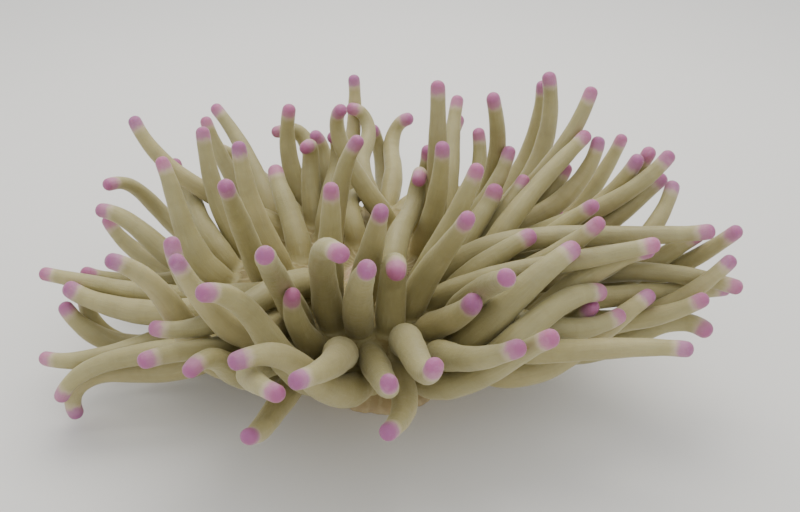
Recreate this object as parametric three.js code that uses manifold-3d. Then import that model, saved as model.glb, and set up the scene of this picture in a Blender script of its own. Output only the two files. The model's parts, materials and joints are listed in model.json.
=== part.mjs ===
// A giant sea anemone (Condylactis gigantea) standing open on its foot, life size.
// Millimetres, +Z up. The origin is the centre of the foot, on the floor; the front is -Y.
import * as THREE from "three";
import { mergeVertices } from "three/addons/utils/BufferGeometryUtils.js";
import Module from "manifold-3d";

const wasm = await Module();
wasm.setup();

// ---- Body sizes ----
const GAP = 0.3; // clearance between neighbouring pieces
const DISC_LEVEL = 46; // height of the flat of the oral disc
const DISH_DEPTH = 2.5; // how far the disc dips to the mouth
const DISH_RADIUS = 40;
const DISC_FLAT = 53; // radius where the disc starts to round over
const RIM_ROUND = 13; // rounding of the margin
const DISC_UNDERSIDE = 30;
const DISC_INNER = 41; // the oral disc proper; the segments of the margin lie outside it
const DISC_SIDES = 20;
const BODY_SIDES = 18;
const LIP_SIDES = 12;

const FOOT_RADIUS = 42;
const FOOT_HEIGHT = 6.2;
const FOOT_LOBES = 5;
const COLUMN_WAIST = 31;
const COLUMN_TOP = 53;

const MOUTH_LENGTH = 27; // across the lips, along X
const MOUTH_WIDTH = 19;
const LIP_HEIGHT = 3.4;
const SLIT_LENGTH = 17;
const SLIT_WIDTH = 2.2;
const SLIT_DEPTH = 4.5;

// ---- Tentacle sizes shared by all ----
const SIDES = 5; // facets round a tentacle
const FACET_SWELL = 1.07; // keeps a faceted section near the area of the round one
const ROOT_PINCH = 0.62; // of the base radius, at the bottom of the root
const NECK_PINCH = 0.25; // a tentacle is narrowest where it leaves the disc
const NECK_LENGTH = 0.16; // of its length
const TAPER_POWER = 0.85;
const STEPS = 16; // chords along the bend
const BEND_TOLERANCE = 3.2; // how far a facet may cut a bend
const ROOT_SINK = 3.2; // how deep a tentacle's root reaches into the disc
const SIMPLIFY = 0.12; // facets that lie this close to flat are joined

// ---- The tentacles ----
// One row each: azimuth of the root (degrees from +X towards +Y), its distance from the mouth measured over the disc,
// length to the centre of the round tip, tip radius, base radius,
// lean from the vertical, outwards, at base, middle and tip, sideways swing at base, middle and tip (degrees),
// and, where the last half curls, the extra lean and swing of the tip.
const INNER = [
  [9.9, 40.7, 43.8, 2.9, 5.65, 40.9, 40.8, 34.8, 0.7, 14.6, 24.8],
  [21.5, 30.8, 56.6, 2.9, 5.6, 45, 40, 22.3, 5.1, 3.2, 12.5, -2.9, -2.9],
  [26.4, 46.5, 77.6, 2.9, 6.41, 57.7, 58.5, 34.2, -31.1, -10.7, 28.4, -21.3, -21.7],
  [41, 24.9, 62.6, 2.9, 5.66, -4.3, -2.7, -2.8, -29.2, -16.9, -3.5],
  [41.2, 36.5, 78.8, 2.9, 5.5, -11.6, -3.3, 8, -9.6, -3.6, 10.9, -5.4, -5.4],
  [49, 46.8, 65.9, 2.9, 5.5, 36.6, 45.7, 53.2, 15.3, 26.6, 32.7, -22.5, -22.5],
  [62.8, 38.3, 45.8, 2.9, 5.5, 14.4, -4.4, -22.4, -8.7, -10.6, -10.1],
  [80.8, 41.5, 65.1, 2.9, 5.5, -0.4, 8.8, 27.2, 36.2, 30.2, 18.2, -66.8, -50.6],
  [108.6, 24.8, 42.6, 2.9, 5.77, 23, 82.9, 134.5, 10, -14.6, -49.3, -128.6, -124.2],
  [111.6, 47.3, 44, 2.95, 5.5, 43.7, 43.7, 42.3, 3.5, -3.8, -16.8, -54.9, 52.4],
  [132.6, 35, 56.5, 2.9, 5.5, 27, 43.1, 57.2, -23.4, -44.9, -49.5, -106.3, 107.5],
  [141.2, 45.5, 91.8, 2.9, 5.5, 60.8, 57.3, 28.3, 23.2, 25.8, 1.4],
  [146.7, 25, 58.7, 2.9, 5.59, -5.8, -8.6, -12.1, -8.2, -5.4, -3.2, -18.9, -7.5],
  [163.2, 34.5, 45.3, 3.34, 6.37, 27, 44.9, 53.7, -37.1, -38.7, -33, -20.6, -7.9],
  [-178, 39, 59, 2.9, 5.73, 26.7, 16.9, 3.6, -5.5, -7.7, -9.6],
  [-155.1, 24.9, 92.5, 2.9, 7.3, 39.4, 80, 109.5, 32.2, 32.2, 21.4, -29.6, -51.6],
  [-152.9, 44.9, 86.8, 2.9, 6.25, 58.9, 48.4, 22.7, 20.9, 35.8, 33.5, -25.1, -57],
  [-121, 36.7, 63, 2.9, 7.28, 10.3, 6.7, 5.3, 10.3, 9.5, 5.8],
  [-101.6, 28.8, 67.5, 2.9, 7.08, 17.4, 23.1, 27.5, 10.7, 13.4, 14.1],
  [-78.1, 31.1, 82.4, 3, 6.01, -23.9, -86.2, -137.2, 9.8, 27.7, 66.9, 261.4, -93.7],
  [-68.8, 39.4, 65.5, 2.91, 6.61, 5.4, 28.3, 33.7, 10.4, 12.3, 1],
  [-54.8, 34.9, 98.6, 2.9, 5.5, 39, 61.5, 63.7, 19.8, 36.9, 47.6],
  [-51.8, 24.9, 63.4, 2.9, 6.02, 13.3, 13.8, 10.1, 22.1, 21, 15.5],
  [-34.1, 38.7, 43.8, 3.49, 6.52, 27.5, 41.4, 50.6, 4.2, 20.8, 38.8, 3.5, -3.5],
  [-24.9, 26.2, 119.3, 2.9, 5.94, 31.4, 78.3, 74.3, 15.3, 12.6, 12.1],
  [-17.6, 41.3, 64.2, 2.9, 5.65, 49.2, 69.7, 66.5, 5.2, 10.8, 20.8],
  [-4.6, 44, 78.3, 2.9, 5.78, 23.5, 46.4, 70.8, 6, 36.1, 44.6, -25.6, -25],
  [-3.9, 32.7, 41.6, 3.59, 5.85, 16.1, 37.5, 71.2, 8.1, 35.2, 61.9, -57.4, -57.4],
];
const FANS = [
  [
    [10.4, 53.9, 89, 2.9, 5.5, 41.9, 51.5, 35.9, -18.3, -22.4, 0.4],
    [14.4, 62.6, 77.2, 2.9, 5.91, 59.4, 37, 15.4, -21.6, -21.9, -15.5],
    [18.8, 71.4, 88.2, 2.9, 5.65, 68.1, 30.1, 8.4, -19.7, -23.7, -19.9],
  ],
  [
    [24, 63.1, 47.4, 2.9, 6.12, 63, 38, 30.5, -11.6, -2.1, 1.3],
    [29, 71.2, 81.7, 2.9, 5.86, 87.1, 50.4, 22.2, -11.8, -3.7, -2.9],
    [33.8, 56.1, 83.5, 2.9, 5.86, 43.1, 34.2, 24.6, -24.5, -14.7, 3.7],
  ],
  [
    [38.4, 71.1, 43.3, 2.9, 5.74, 91, 52.1, 18.8, -14.5, -20.4, -24.2, -77.9, -78.5],
    [43.7, 60.6, 75.1, 2.9, 5.5, 23.8, -6.7, -21.5, -21.7, -11.9, -3.6],
    [48.8, 71, 92, 3.21, 6.22, 73.8, 33, -2.7, -25.9, -7, 13.3],
  ],
  [
    [54.1, 58.5, 46.6, 2.9, 5.5, 52.9, 42.6, 29.6, -26.9, 6.6, 41.1, -31.8, -31.2],
    [59.8, 71.1, 95.1, 2.9, 6.09, 94.5, 42, -0.3, -36.8, -13.4, 2.1],
    [66.3, 53.6, 52.1, 3.2, 6.2, 45.1, 50.2, 53.8, -2.4, -0.9, 0.1, -8.3, -8.3],
  ],
  [
    [78.6, 59.6, 43.5, 2.9, 5.78, 79.4, 63.7, 42.7, -32.8, -68.9, -94.9, 44.7, -83.3],
    [86.3, 66.3, 66.6, 3.32, 5.5, 62.6, 77.8, 94.8, -5.6, 7.3, 53.8, -124.7, -119.4],
    [90.7, 56.8, 69.2, 2.98, 5.5, 45, 78.2, 118, 23.4, -8, -89.7, -161.8, 166.9],
  ],
  [
    [94.2, 71.1, 68.8, 2.9, 5.89, 96.6, 70.3, 46.4, -28.9, -2.9, 25.2, -103, -10.7],
    [102.8, 56.7, 43.9, 2.9, 5.81, 69.9, 114.2, 159.5, 14, 30.4, 40.5, -139.7, 134.4],
    [103.7, 71, 80.1, 2.9, 5.5, 75.2, 46.4, 21.2, -12, -14.4, -14.9, -13.8, 17.5],
  ],
  [
    [113.3, 71, 63, 3.12, 5.96, 58.6, 23.3, -1.9, 29.3, 6.3, -18.5, -12, 12],
    [117.3, 58.9, 61.3, 2.9, 5.87, 49.9, 63.4, 69.4, -12.7, -13.1, -9.8, -146, 146.6],
    [123.3, 71.2, 55.6, 3.2, 6.2, 117.9, 118.6, 118.9, 9.7, 6.1, 3, -97.3, 98.4],
  ],
  [
    [125.8, 48.2, 46.3, 2.9, 5.96, 38, 25.8, 6.8, -9.8, -16.5, -33.8, -98, 102.6],
    [128.3, 60.7, 70, 3.2, 6.2, 79.8, 81.6, 82.1, -7, -2.4, 0.3, -65.2, 65.5],
    [132, 71.2, 73.9, 2.9, 5.52, 81.9, 52.5, 30.7, 8.8, 2.4, 0.4],
  ],
  [
    [140, 71.3, 104.5, 2.9, 5.79, 136, 57.5, -11.9, 21.3, 15.4, 6.9, -23.6, 73.3],
    [141, 60.1, 71.8, 2.9, 5.5, 47.3, 57.2, 66, -18.5, -18.1, -14.4, -26, 25.9],
    [149.9, 71.5, 83.4, 2.9, 7.3, 132.4, 83.1, 25.9, 21.8, 19.9, 5],
  ],
  [
    [160.3, 71.2, 74.5, 2.9, 5.99, 120.1, 73.6, 26.2, 17, 43.7, 42.5],
    [164.6, 60.6, 58.7, 2.9, 5.5, 42.7, 22, 9, -10.5, -13.2, -14.6],
    [170.2, 71.2, 65.7, 3.01, 6.98, 81.9, 51.7, 33.3, 19.1, -3.6, -17.4, 49.9, 23.9],
  ],
  [
    [176, 62.6, 69.2, 2.9, 6.08, 44.9, 67, 108.4, -10.2, -63.1, -84.1, -126.5, 126.6],
    [179.9, 71.8, 89.1, 2.9, 6.29, 165.3, 85.2, -3.8, 8.6, 12.4, -11.3],
    [-174.5, 63.5, 61.6, 2.9, 6.76, 62.4, 18.1, 21.1, -2.7, -19.4, -19.8],
  ],
  [
    [-169.7, 72.6, 77.8, 3.06, 7.3, 135.5, 86.9, 25.8, 9.4, -2.8, -14.3],
    [-165.6, 47.9, 74.6, 2.9, 5.99, 13.4, 12.3, 11.7, 20.6, 27.3, 30.2],
    [-165.3, 61.6, 81.7, 2.9, 5.5, 89.6, 84.8, 78.2, 0.7, -22.9, -17.4],
  ],
  [
    [-160.5, 71.3, 75.9, 2.94, 6.28, 94.8, 92, 88.5, 4.4, 7.4, -5.4, 3.3, -36.3],
    [-155.9, 60.3, 77.3, 3.43, 7.21, 80, 97.3, 115.3, 15.5, -38.9, -80.1, -68, 59.1],
    [-151.6, 72.2, 81.4, 3.24, 6.31, 133.9, 87, 69.2, 2.1, -23.5, -28, 124, 53.4],
  ],
  [
    [-145.9, 61.3, 70.1, 2.9, 5.92, 81.6, 61.6, 84.5, 70.7, 22.9, 6.9],
    [-143.4, 71.3, 78.9, 2.9, 5.5, 78.9, 93.3, 107, -12.1, -26.4, -24.5, 47.4, 14.7],
    [-137.4, 49, 85.6, 2.9, 7.3, 70.6, 47.3, -42.7, 40.9, 7.9, -66.6, 61.3, 61.1],
  ],
  [
    [-134.7, 72.8, 80.6, 2.97, 7.3, 96.2, 19.2, 59.7, -7.2, -10.5, -26.9],
    [-125, 71.7, 60, 2.9, 6.9, 84.1, 39.4, 23.6, -2.2, 6.7, 7.6, 77.9, 0.8],
    [-119.6, 63.2, 83.2, 2.9, 5.79, 74.2, 55.4, 54.5, 6.1, 22.7, 73.3],
  ],
  [
    [-118.5, 53.7, 99.7, 2.9, 5.83, 22, 38.6, 53.9, -7.6, 16.9, 32.6],
    [-115.7, 71.7, 61, 2.9, 5.86, 97.9, 72.4, 46.5, 1.9, 15.6, 16.7],
    [-111, 59.4, 39.9, 2.9, 6.05, 44.4, 24.1, 14.8, -4.1, -3.7, 4.3, 3.6, 14.9],
  ],
  [
    [-109.4, 47.5, 86.1, 3.04, 6.64, 13.9, 32.2, 48.4, -1.6, 12.6, 23.1, 23.4, 25.7],
    [-105.7, 71.3, 86.9, 2.92, 7.3, 58, 22.1, 2.8, -8.3, -13.5, -15.1, 65.3, -7.5],
    [-101, 60.7, 77.4, 2.9, 7.3, 47, 59.9, 69.7, 7.4, 7.7, -25.2],
  ],
  [
    [-95.8, 48, 80.7, 3.06, 6.61, 27.6, 40, 47.9, 0.7, 8.1, 13, -0.1, -1.6],
    [-93.1, 71.2, 80.3, 2.9, 7.3, 73.6, 30.2, 10.8, -20.7, -20.1, -18.9, 81.7, -38.1],
    [-91.1, 58.5, 72.3, 2.9, 5.92, 75.5, 63.3, 52.5, 13, 8.5, 4.4, -13.5, -4.9],
  ],
  [
    [-82.6, 65.4, 62.4, 2.9, 5.8, 85.6, 71.1, 60.7, 13.5, -10, -21.4],
    [-81.7, 48.2, 49.1, 3.42, 6.72, -11.5, 13.3, 60, 3.7, 1.7, -1.4, 43.4, -7.4],
    [-76.4, 57.9, 77.5, 2.9, 7.19, 32, 72.7, 90.7, -12.4, -4.8, 1.2, -66, -1.2],
  ],
  [
    [-74.9, 71.3, 78.7, 3, 5.5, 73.6, 39.6, 27.7, 17.5, 23.2, 22.5, 13.5, 4.4],
    [-67.4, 63.6, 68.7, 3.17, 6.37, 45.8, 58.2, 43.2, -10.4, 0.8, 31.7],
    [-66.9, 50.8, 40.7, 3.68, 6.36, 42.5, 46.5, 34.2, 10.4, 11.2, 2.7],
  ],
  [
    [-61.8, 71.8, 75.9, 3.5, 6.75, 69.7, 8.4, -31.4, -1, 50.8, 80.4, -3.2, 25.6],
    [-56.7, 61.7, 63.3, 3.61, 7.17, 49.4, 20.2, 4.9, -1, 38.4, 74.1, 12.6, -12],
    [-54.6, 51.1, 92.1, 2.9, 5.72, 25.6, 48.3, 45.9, 9.5, -17.2, -34.5],
  ],
  [
    [-52.4, 72, 78.9, 3.06, 6.5, 108.3, 34.8, -0.9, 23.4, 57.9, 86.4, 26.9, -27.7],
    [-46, 63.9, 84.5, 2.95, 5.5, 76.6, 70.5, 89.6, -20.1, 23.9, 35.5],
    [-40, 71.4, 73.7, 2.9, 6.71, 46.3, 34.6, 82, 6.5, 32.8, 35.3, -13.1, -13.2],
  ],
  [
    [-39, 51.4, 69.9, 2.97, 6.8, 46.1, 90.2, 87.7, -26.9, 16.9, 97.4, -29.5, -31.1],
    [-33.2, 61.3, 95.8, 3.21, 5.77, 56.9, 90.1, 93.7, 22.3, 41.8, 46.7, -7.8, -7.9],
    [-29.8, 71.4, 43.5, 2.9, 6.13, 86.5, 48.6, 32, 0.2, -3.7, -1.3],
    [-27.1, 51.4, 62.9, 2.9, 6.45, 40.2, 46, 36.9, -2.3, 3, 7.1],
  ],
  [
    [-22.8, 62, 80.2, 2.9, 5.75, 99.8, 75.6, 49.2, 8.5, 0.7, 6.6],
    [-21.1, 73.3, 82, 3.55, 6.37, 133.1, 68, 33.9, -9.6, 25.7, 31.1, 70.4, -55.4],
    [-13.2, 57.3, 88.9, 2.9, 5.5, 68.3, 58.4, 7, -18.6, 14.4, 60.8, 7.2, -8],
  ],
  [
    [-12.2, 71.3, 93.4, 2.9, 5.5, 106.1, 60.3, 41.8, -15.8, -6.6, 18.3],
    [-7.5, 64.2, 90.2, 2.9, 5.5, 62.1, 76.4, 97.8, -4.8, -11.3, -14.2],
    [-2.8, 55.3, 52.8, 2.9, 6.23, 38, 41.2, 41.5, -10, -9.9, -15.3],
  ],
  [
    [-1.9, 71.7, 80.5, 2.9, 6.45, 90.8, 56, 51.1, -29.8, -4.6, -2.5],
    [3.9, 63.4, 75.1, 2.9, 6.34, 59.4, 47.7, 50.8, -21.9, -5.3, 11.2],
    [9.2, 71.4, 102.7, 2.9, 5.95, 101.6, 56.8, 28.9, -34.7, -26.6, -24.1],
  ],
];

const rad = THREE.MathUtils.degToRad;

// ---- Solids ----
function solid(geometry) {
  const bare = new THREE.BufferGeometry();
  bare.setAttribute("position", geometry.getAttribute("position").clone());
  if (geometry.index) bare.setIndex(geometry.index.clone());
  const merged = mergeVertices(bare, 1e-4);
  const faces = [];
  const index = merged.index.array;
  for (let i = 0; i < index.length; i += 3) {
    const [a, b, c] = [index[i], index[i + 1], index[i + 2]];
    if (a !== b && b !== c && c !== a) faces.push(a, b, c);
  }
  const make = (list) =>
    new wasm.Manifold(
      new wasm.Mesh({
        numProp: 3,
        vertProperties: new Float32Array(merged.attributes.position.array),
        triVerts: new Uint32Array(list),
      }),
    );
  const made = make(faces);
  if (made.volume() > 0) return made;
  const turned = [];
  for (let i = 0; i < faces.length; i += 3)
    turned.push(faces[i], faces[i + 2], faces[i + 1]);
  return make(turned);
}

function geometryOf(body) {
  const m = body.getMesh();
  const geometry = new THREE.BufferGeometry();
  geometry.setAttribute(
    "position",
    new THREE.BufferAttribute(new Float32Array(m.vertProperties), 3),
  );
  geometry.setIndex(new THREE.BufferAttribute(new Uint32Array(m.triVerts), 1));
  return geometry;
}

// The largest connected piece: a cut can leave a crumb.
function mainPiece(body) {
  const pieces = body.decompose();
  return pieces.reduce((a, b) => (b.volume() > a.volume() ? b : a));
}

// A turned body about Z from [radius, height] points, with an optional lobed outline.
function turned(points, sides, lobe = () => 1) {
  const g = new THREE.LatheGeometry(
    points.map(([r, z]) => new THREE.Vector2(r, z)),
    sides,
  ).rotateX(Math.PI / 2);
  const p = g.getAttribute("position");
  for (let i = 0; i < p.count; i++) {
    const k = lobe(Math.atan2(p.getY(i), p.getX(i)), p.getZ(i));
    p.setXY(i, p.getX(i) * k, p.getY(i) * k);
  }
  return solid(g);
}

// ---- Oral disc ----
const dish = (r) => DISC_LEVEL - DISH_DEPTH * Math.max(0, 1 - (r / DISH_RADIUS) ** 2);

// Position on the disc's surface and its outward direction, at a distance from the mouth.
function onDisc(out, azimuth) {
  const over = Math.max(0, (out - DISC_FLAT) / RIM_ROUND);
  const r = over ? DISC_FLAT + RIM_ROUND * Math.sin(over) : out;
  const z = over ? DISC_LEVEL - RIM_ROUND + RIM_ROUND * Math.cos(over) : dish(out);
  return new THREE.Vector3(r * Math.cos(azimuth), r * Math.sin(azimuth), z);
}

// The middle of the disc, dished towards the mouth; carried out to the flat's edge it is the cutter that seats the roots.
function discBody(reach, grow = 0) {
  const points = [[0, DISC_UNDERSIDE - grow], [reach, DISC_UNDERSIDE - grow]];
  for (const r of [reach, DISH_RADIUS - 1, 21]) points.push([r, dish(r) + grow]);
  points.push([0, dish(0) + grow]);
  return turned(points, DISC_SIDES);
}

// The margin's section, from the oral disc out over the rounded rim and back below.
function marginSection() {
  const over = (turn) => [
    DISC_FLAT + RIM_ROUND * Math.sin(rad(turn)),
    DISC_LEVEL - RIM_ROUND + RIM_ROUND * Math.cos(rad(turn)),
  ];
  const inside = DISC_INNER + GAP;
  return [[inside, DISC_UNDERSIDE], [DISC_FLAT + RIM_ROUND * 0.65, DISC_UNDERSIDE + 0.4], over(78), over(36), [DISC_FLAT + 1, DISC_LEVEL], [inside, DISC_LEVEL]];
}

// ---- Tentacles ----
const radiusAt = (t, s) => {
  const taper = t.tip + (t.base - t.tip) * (1 - s) ** TAPER_POWER;
  const neck = 1 - NECK_PINCH * Math.max(0, 1 - s / NECK_LENGTH) ** 1.3;
  return taper * neck;
};
const through = ([a, b, c], s) =>
  a * 2 * (s - 0.5) * (s - 1) - b * 4 * s * (s - 1) + c * 2 * s * (s - 0.5);

function centreline(t) {
  const out = new THREE.Vector3(Math.cos(t.azimuth), Math.sin(t.azimuth), 0);
  const side = new THREE.Vector3(-out.y, out.x, 0);
  const up = new THREE.Vector3(0, 0, 1);
  const nodes = [onDisc(t.out, t.azimuth)];
  for (let k = 0; k < STEPS; k++) {
    const s = (k + 0.5) / STEPS;
    const curl = Math.max(0, (s - 0.5) / 0.5) ** 2;
    const lean = rad(through(t.lean, s) + t.curl[0] * curl);
    const swing = rad(through(t.swing, s) + t.curl[1] * curl);
    const step = new THREE.Vector3()
      .addScaledVector(out, Math.sin(lean) * Math.cos(swing))
      .addScaledVector(side, Math.sin(swing))
      .addScaledVector(up, Math.cos(lean) * Math.cos(swing));
    nodes.push(nodes[k].clone().addScaledVector(step, t.length / STEPS));
  }
  return nodes;
}

// The stations that keep a bend within its tolerance.
function stations(nodes) {
  const keep = new Set([2, STEPS]);
  const split = (a, b) => {
    const line = new THREE.Line3(nodes[a], nodes[b]);
    const near = new THREE.Vector3();
    let worst = 0,
      at = -1;
    for (let k = a + 1; k < b; k++) {
      line.closestPointToPoint(nodes[k], true, near);
      const d = near.distanceTo(nodes[k]);
      if (d > worst) [worst, at] = [d, k];
    }
    if (worst > BEND_TOLERANCE) {
      keep.add(at);
      split(a, at);
      split(at, b);
    }
  };
  split(2, STEPS);
  return [...keep].sort((a, b) => a - b);
}

// A straight, round-ended, tapered lathe body, bent along the centreline.
function tentacleSolid(t, grow = 0) {
  const nodes = centreline(t);
  const at = stations(nodes);
  const rings = []; // [radius, place, node]
  const ring = (k) => [(radiusAt(t, k / STEPS) + grow) * FACET_SWELL, 0, k];
  const tip = (t.tip + grow) * FACET_SWELL;
  rings.push([0, -ROOT_SINK, 0], [t.base * ROOT_PINCH + grow, -ROOT_SINK, 0]); // the root, below the disc's surface
  for (const k of at) rings.push(ring(k));
  rings.push([tip * 0.74, tip * 0.66, STEPS], [0, tip, STEPS]);
  const lathe = new THREE.LatheGeometry(
    rings.map(([r, ahead, k]) => new THREE.Vector2(r, (k * t.length) / STEPS + ahead)),
    SIDES,
  );
  // frames carried along the bend without twist
  const frame = rings.map(([, ahead, k]) => {
    const before = nodes[Math.max(0, k - 1)],
      after = nodes[Math.min(STEPS, k + 1)];
    const along = after.clone().sub(before).normalize();
    if (k === 0) along.copy(nodes[1]).sub(nodes[0]).normalize();
    if (k === STEPS) along.copy(nodes[STEPS]).sub(nodes[STEPS - 1]).normalize();
    return { centre: nodes[k].clone().addScaledVector(along, ahead), along };
  });
  let across = new THREE.Vector3(-Math.sin(t.azimuth), Math.cos(t.azimuth), 0);
  for (const f of frame) {
    across = across.clone().addScaledVector(f.along, -across.dot(f.along)).normalize();
    f.across = across;
    f.over = new THREE.Vector3().crossVectors(f.along, across);
  }
  const p = lathe.getAttribute("position");
  for (let i = 0; i < p.count; i++) {
    const f = frame[i % rings.length];
    const v = f.centre
      .clone()
      .addScaledVector(f.across, p.getX(i))
      .addScaledVector(f.over, p.getZ(i));
    p.setXYZ(i, v.x, v.y, v.z);
  }
  return solid(lathe);
}

const readRow = (row) => {
  const [azimuth, out, length, tip, base, l0, l1, l2, s0, s1, s2, c0 = 0, c1 = 0] = row;
  return {
    azimuth: rad(azimuth), out, length, tip, base,
    lean: [l0, l1, l2], swing: [s0, s1, s2], curl: [c0, c1],
  };
};
const two = (n) => String(n).padStart(2, "0");
const nodes = []; // { name, rows, fan }
INNER.forEach((row, i) =>
  nodes.push({ name: `tentacle_inner_${two(i + 1)}`, tentacles: [readRow(row)], fan: false }),
);
FANS.forEach((rows, i) =>
  nodes.push({ name: `margin_fan_${two(i + 1)}`, tentacles: rows.map(readRow), fan: true }),
);
const all = nodes.flatMap((n) => n.tentacles.map((t) => Object.assign(t, { owner: n })));
for (const t of all) {
  t.root = onDisc(t.out, t.azimuth);
  t.body = tentacleSolid(t);
  t.swollen = tentacleSolid(t, GAP);
}

// ---- The disc and the segments of its margin ----
const fans = nodes.filter((n) => n.fan);
const polar = (r, a) => new THREE.Vector2(r * Math.cos(a), r * Math.sin(a));
const MARGIN_EDGE = DISC_FLAT + RIM_ROUND;

// The cut between two neighbouring fans: the straight line from the oral disc to the rim that keeps furthest from both their roots,
// within its share of the turn, so that no two cuts cross.
const turnOf = (n) => {
  const sum = new THREE.Vector2();
  for (const t of n.tentacles) sum.add(polar(1, t.azimuth));
  return Math.atan2(sum.y, sum.x);
};
const TURN = 2 * Math.PI;
const between = (a, b) => (((b - a) % TURN) + TURN) % TURN;
const last = (list) => list[list.length - 1];
const starts = fans.map((n, i) => {
  const next = fans[(i + 1) % fans.length];
  const [a, b] = [last(n.tentacles).azimuth, next.tentacles[0].azimuth];
  return a + between(a, b) / 2;
});
function cutBetween(i) {
  const [a, b] = [fans[i], fans[(i + 1) % fans.length]];
  const room0 = between(starts[(i + fans.length - 1) % fans.length], starts[i]);
  const room1 = between(starts[i], starts[(i + 1) % fans.length]);
  let best = null;
  const tries = 9;
  const share = (k) => (k < 0 ? room0 : room1) * 0.3 * (k / tries);
  for (let j = -tries; j <= tries; j++)
    for (let k = -tries; k <= tries; k++) {
      const inside = polar(DISC_INNER, starts[i] + share(j));
      const outside = polar(MARGIN_EDGE, starts[i] + share(k));
      const along = outside.clone().sub(inside).normalize();
      let room = Infinity;
      for (const [n, sign] of [[a, 1], [b, -1]])
        for (const t of n.tentacles) {
          const d = new THREE.Vector2(t.root.x, t.root.y).sub(inside);
          room = Math.min(room, sign * (d.x * along.y - d.y * along.x) - radiusAt(t, 0));
        }
      room -= 0.05 * (Math.abs(j) + Math.abs(k));
      if (!best || room > best.room) best = { room, inside, outside, along };
    }
  return best;
}
const cuts = fans.map((n, i) => cutBetween(i));

function marginSegment(i) {
  const after = cuts[i],
    before = cuts[(i + fans.length - 1) % fans.length];
  const shift = (cut, side) => {
    const off = new THREE.Vector2(-cut.along.y, cut.along.x).multiplyScalar((side * GAP) / 2);
    return [
      cut.inside.clone().addScaledVector(cut.along, -2).add(off),
      cut.outside.clone().addScaledVector(cut.along, 8).add(off),
    ];
  };
  const [p0, p1] = shift(before, 1),
    [q0, q1] = shift(after, -1);
  const block = solid(
    new THREE.ExtrudeGeometry(new THREE.Shape([p0, p1, q1, q0]), { depth: 60, bevelEnabled: false }),
  );
  const middle = before.outside.clone().add(after.outside);
  const turn = Math.atan2(middle.y, middle.x);
  const section = new THREE.Shape(marginSection().map(([r, z]) => new THREE.Vector2(r, z)));
  const bar = solid(
    new THREE.ExtrudeGeometry(section, { depth: 70, bevelEnabled: false })
      .translate(0, 0, -35)
      .rotateX(Math.PI / 2)
      .rotateZ(turn),
  );
  return bar.intersect(block);
}

function giveWay(piece, owner) {
  for (const t of all)
    if (t.owner !== owner && piece.intersect(t.swollen).volume() > 1e-4)
      piece = piece.subtract(t.swollen);
  return mainPiece(piece);
}
const seat = discBody(DISC_FLAT, GAP);
function oralDisc() {
  let piece = discBody(DISC_INNER);
  for (const t of all)
    if (t.owner.fan && piece.intersect(t.swollen).volume() > 1e-4) piece = piece.subtract(t.swollen);
  return mainPiece(piece);
}

// ---- Mouth: a low oval of puckered lips round a slit ----
function mouthSolid() {
  const rings = [[0, -2], [1, -2], [0.95, 0.5], [0.6, 1], [0, 0.7]];
  const g = new THREE.LatheGeometry(
    rings.map(([r, h]) => new THREE.Vector2(r, h * LIP_HEIGHT)),
    LIP_SIDES,
  ).rotateX(Math.PI / 2);
  const p = g.getAttribute("position");
  for (let i = 0; i < p.count; i++) {
    const a = Math.atan2(p.getY(i), p.getX(i));
    const pucker = 1 + 0.045 * Math.cos((LIP_SIDES / 2) * a);
    p.setXYZ(
      i,
      (p.getX(i) * pucker * MOUTH_LENGTH) / 2,
      (p.getY(i) * pucker * MOUTH_WIDTH) / 2,
      p.getZ(i) + dish(0),
    );
  }
  const slit = new THREE.Shape();
  const n = 6;
  for (let i = 0; i < n; i++) {
    const a = (i / n) * 2 * Math.PI;
    slit.lineTo((Math.cos(a) * SLIT_LENGTH) / 2, (Math.sin(a) * SLIT_WIDTH) / 2);
  }
  const groove = solid(
    new THREE.ExtrudeGeometry(slit, { depth: 20, bevelEnabled: false }).translate(
      0, 0, dish(0) + LIP_HEIGHT - SLIT_DEPTH + 1.6,
    ),
  );
  return solid(g).subtract(groove);
}

// ---- Column and foot ----
const ridged = (a, z) => 1 + 0.012 * Math.cos(15 * a) + 0.02 * Math.cos(2 * a + 0.6);
const lobed = (a, z) =>
  1 + (1 - z / 14) * (0.035 * Math.cos(FOOT_LOBES * a + 0.4) + 0.02 * Math.cos(3 * a - 1)) + 0.02 * Math.cos(2 * a + 0.6);
const column = () =>
  turned(
    [
      [0, FOOT_HEIGHT + GAP],
      [COLUMN_WAIST, FOOT_HEIGHT + GAP],
      [COLUMN_WAIST + 0.3, 11],
      [COLUMN_WAIST + 2.6, 16.5],
      [COLUMN_WAIST + 8, 22],
      [COLUMN_WAIST + 15.5, 26.8],
      [COLUMN_TOP - 1, DISC_UNDERSIDE - GAP],
      [0, DISC_UNDERSIDE - GAP],
    ],
    BODY_SIDES,
    ridged,
  );
const foot = () =>
  turned(
    [
      [0, 0],
      [FOOT_RADIUS - 1.2, 0],
      [FOOT_RADIUS, 1.1],
      [FOOT_RADIUS - 2.4, 3],
      [FOOT_RADIUS - 7.5, 4.8],
      [COLUMN_WAIST + 1, FOOT_HEIGHT],
      [0, FOOT_HEIGHT],
    ],
    BODY_SIDES,
    lobed,
  );

// ---- The group ----
const FLESH = new THREE.MeshStandardMaterial({ color: 0xa3966a, roughness: 0.42, metalness: 0 });
const DISC = new THREE.MeshStandardMaterial({ color: 0x8a7d52, roughness: 0.45, metalness: 0 });
const LIP = new THREE.MeshStandardMaterial({ color: 0xc9b79a, roughness: 0.4, metalness: 0 });
const COLUMN = new THREE.MeshStandardMaterial({ color: 0xb98f72, roughness: 0.5, metalness: 0 });
const anemone = new THREE.Group();
anemone.name = "sea_anemone";

function put(name, body, material) {
  const mesh = new THREE.Mesh(geometryOf(body), material);
  mesh.name = name;
  anemone.add(mesh);
  return mesh;
}

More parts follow.
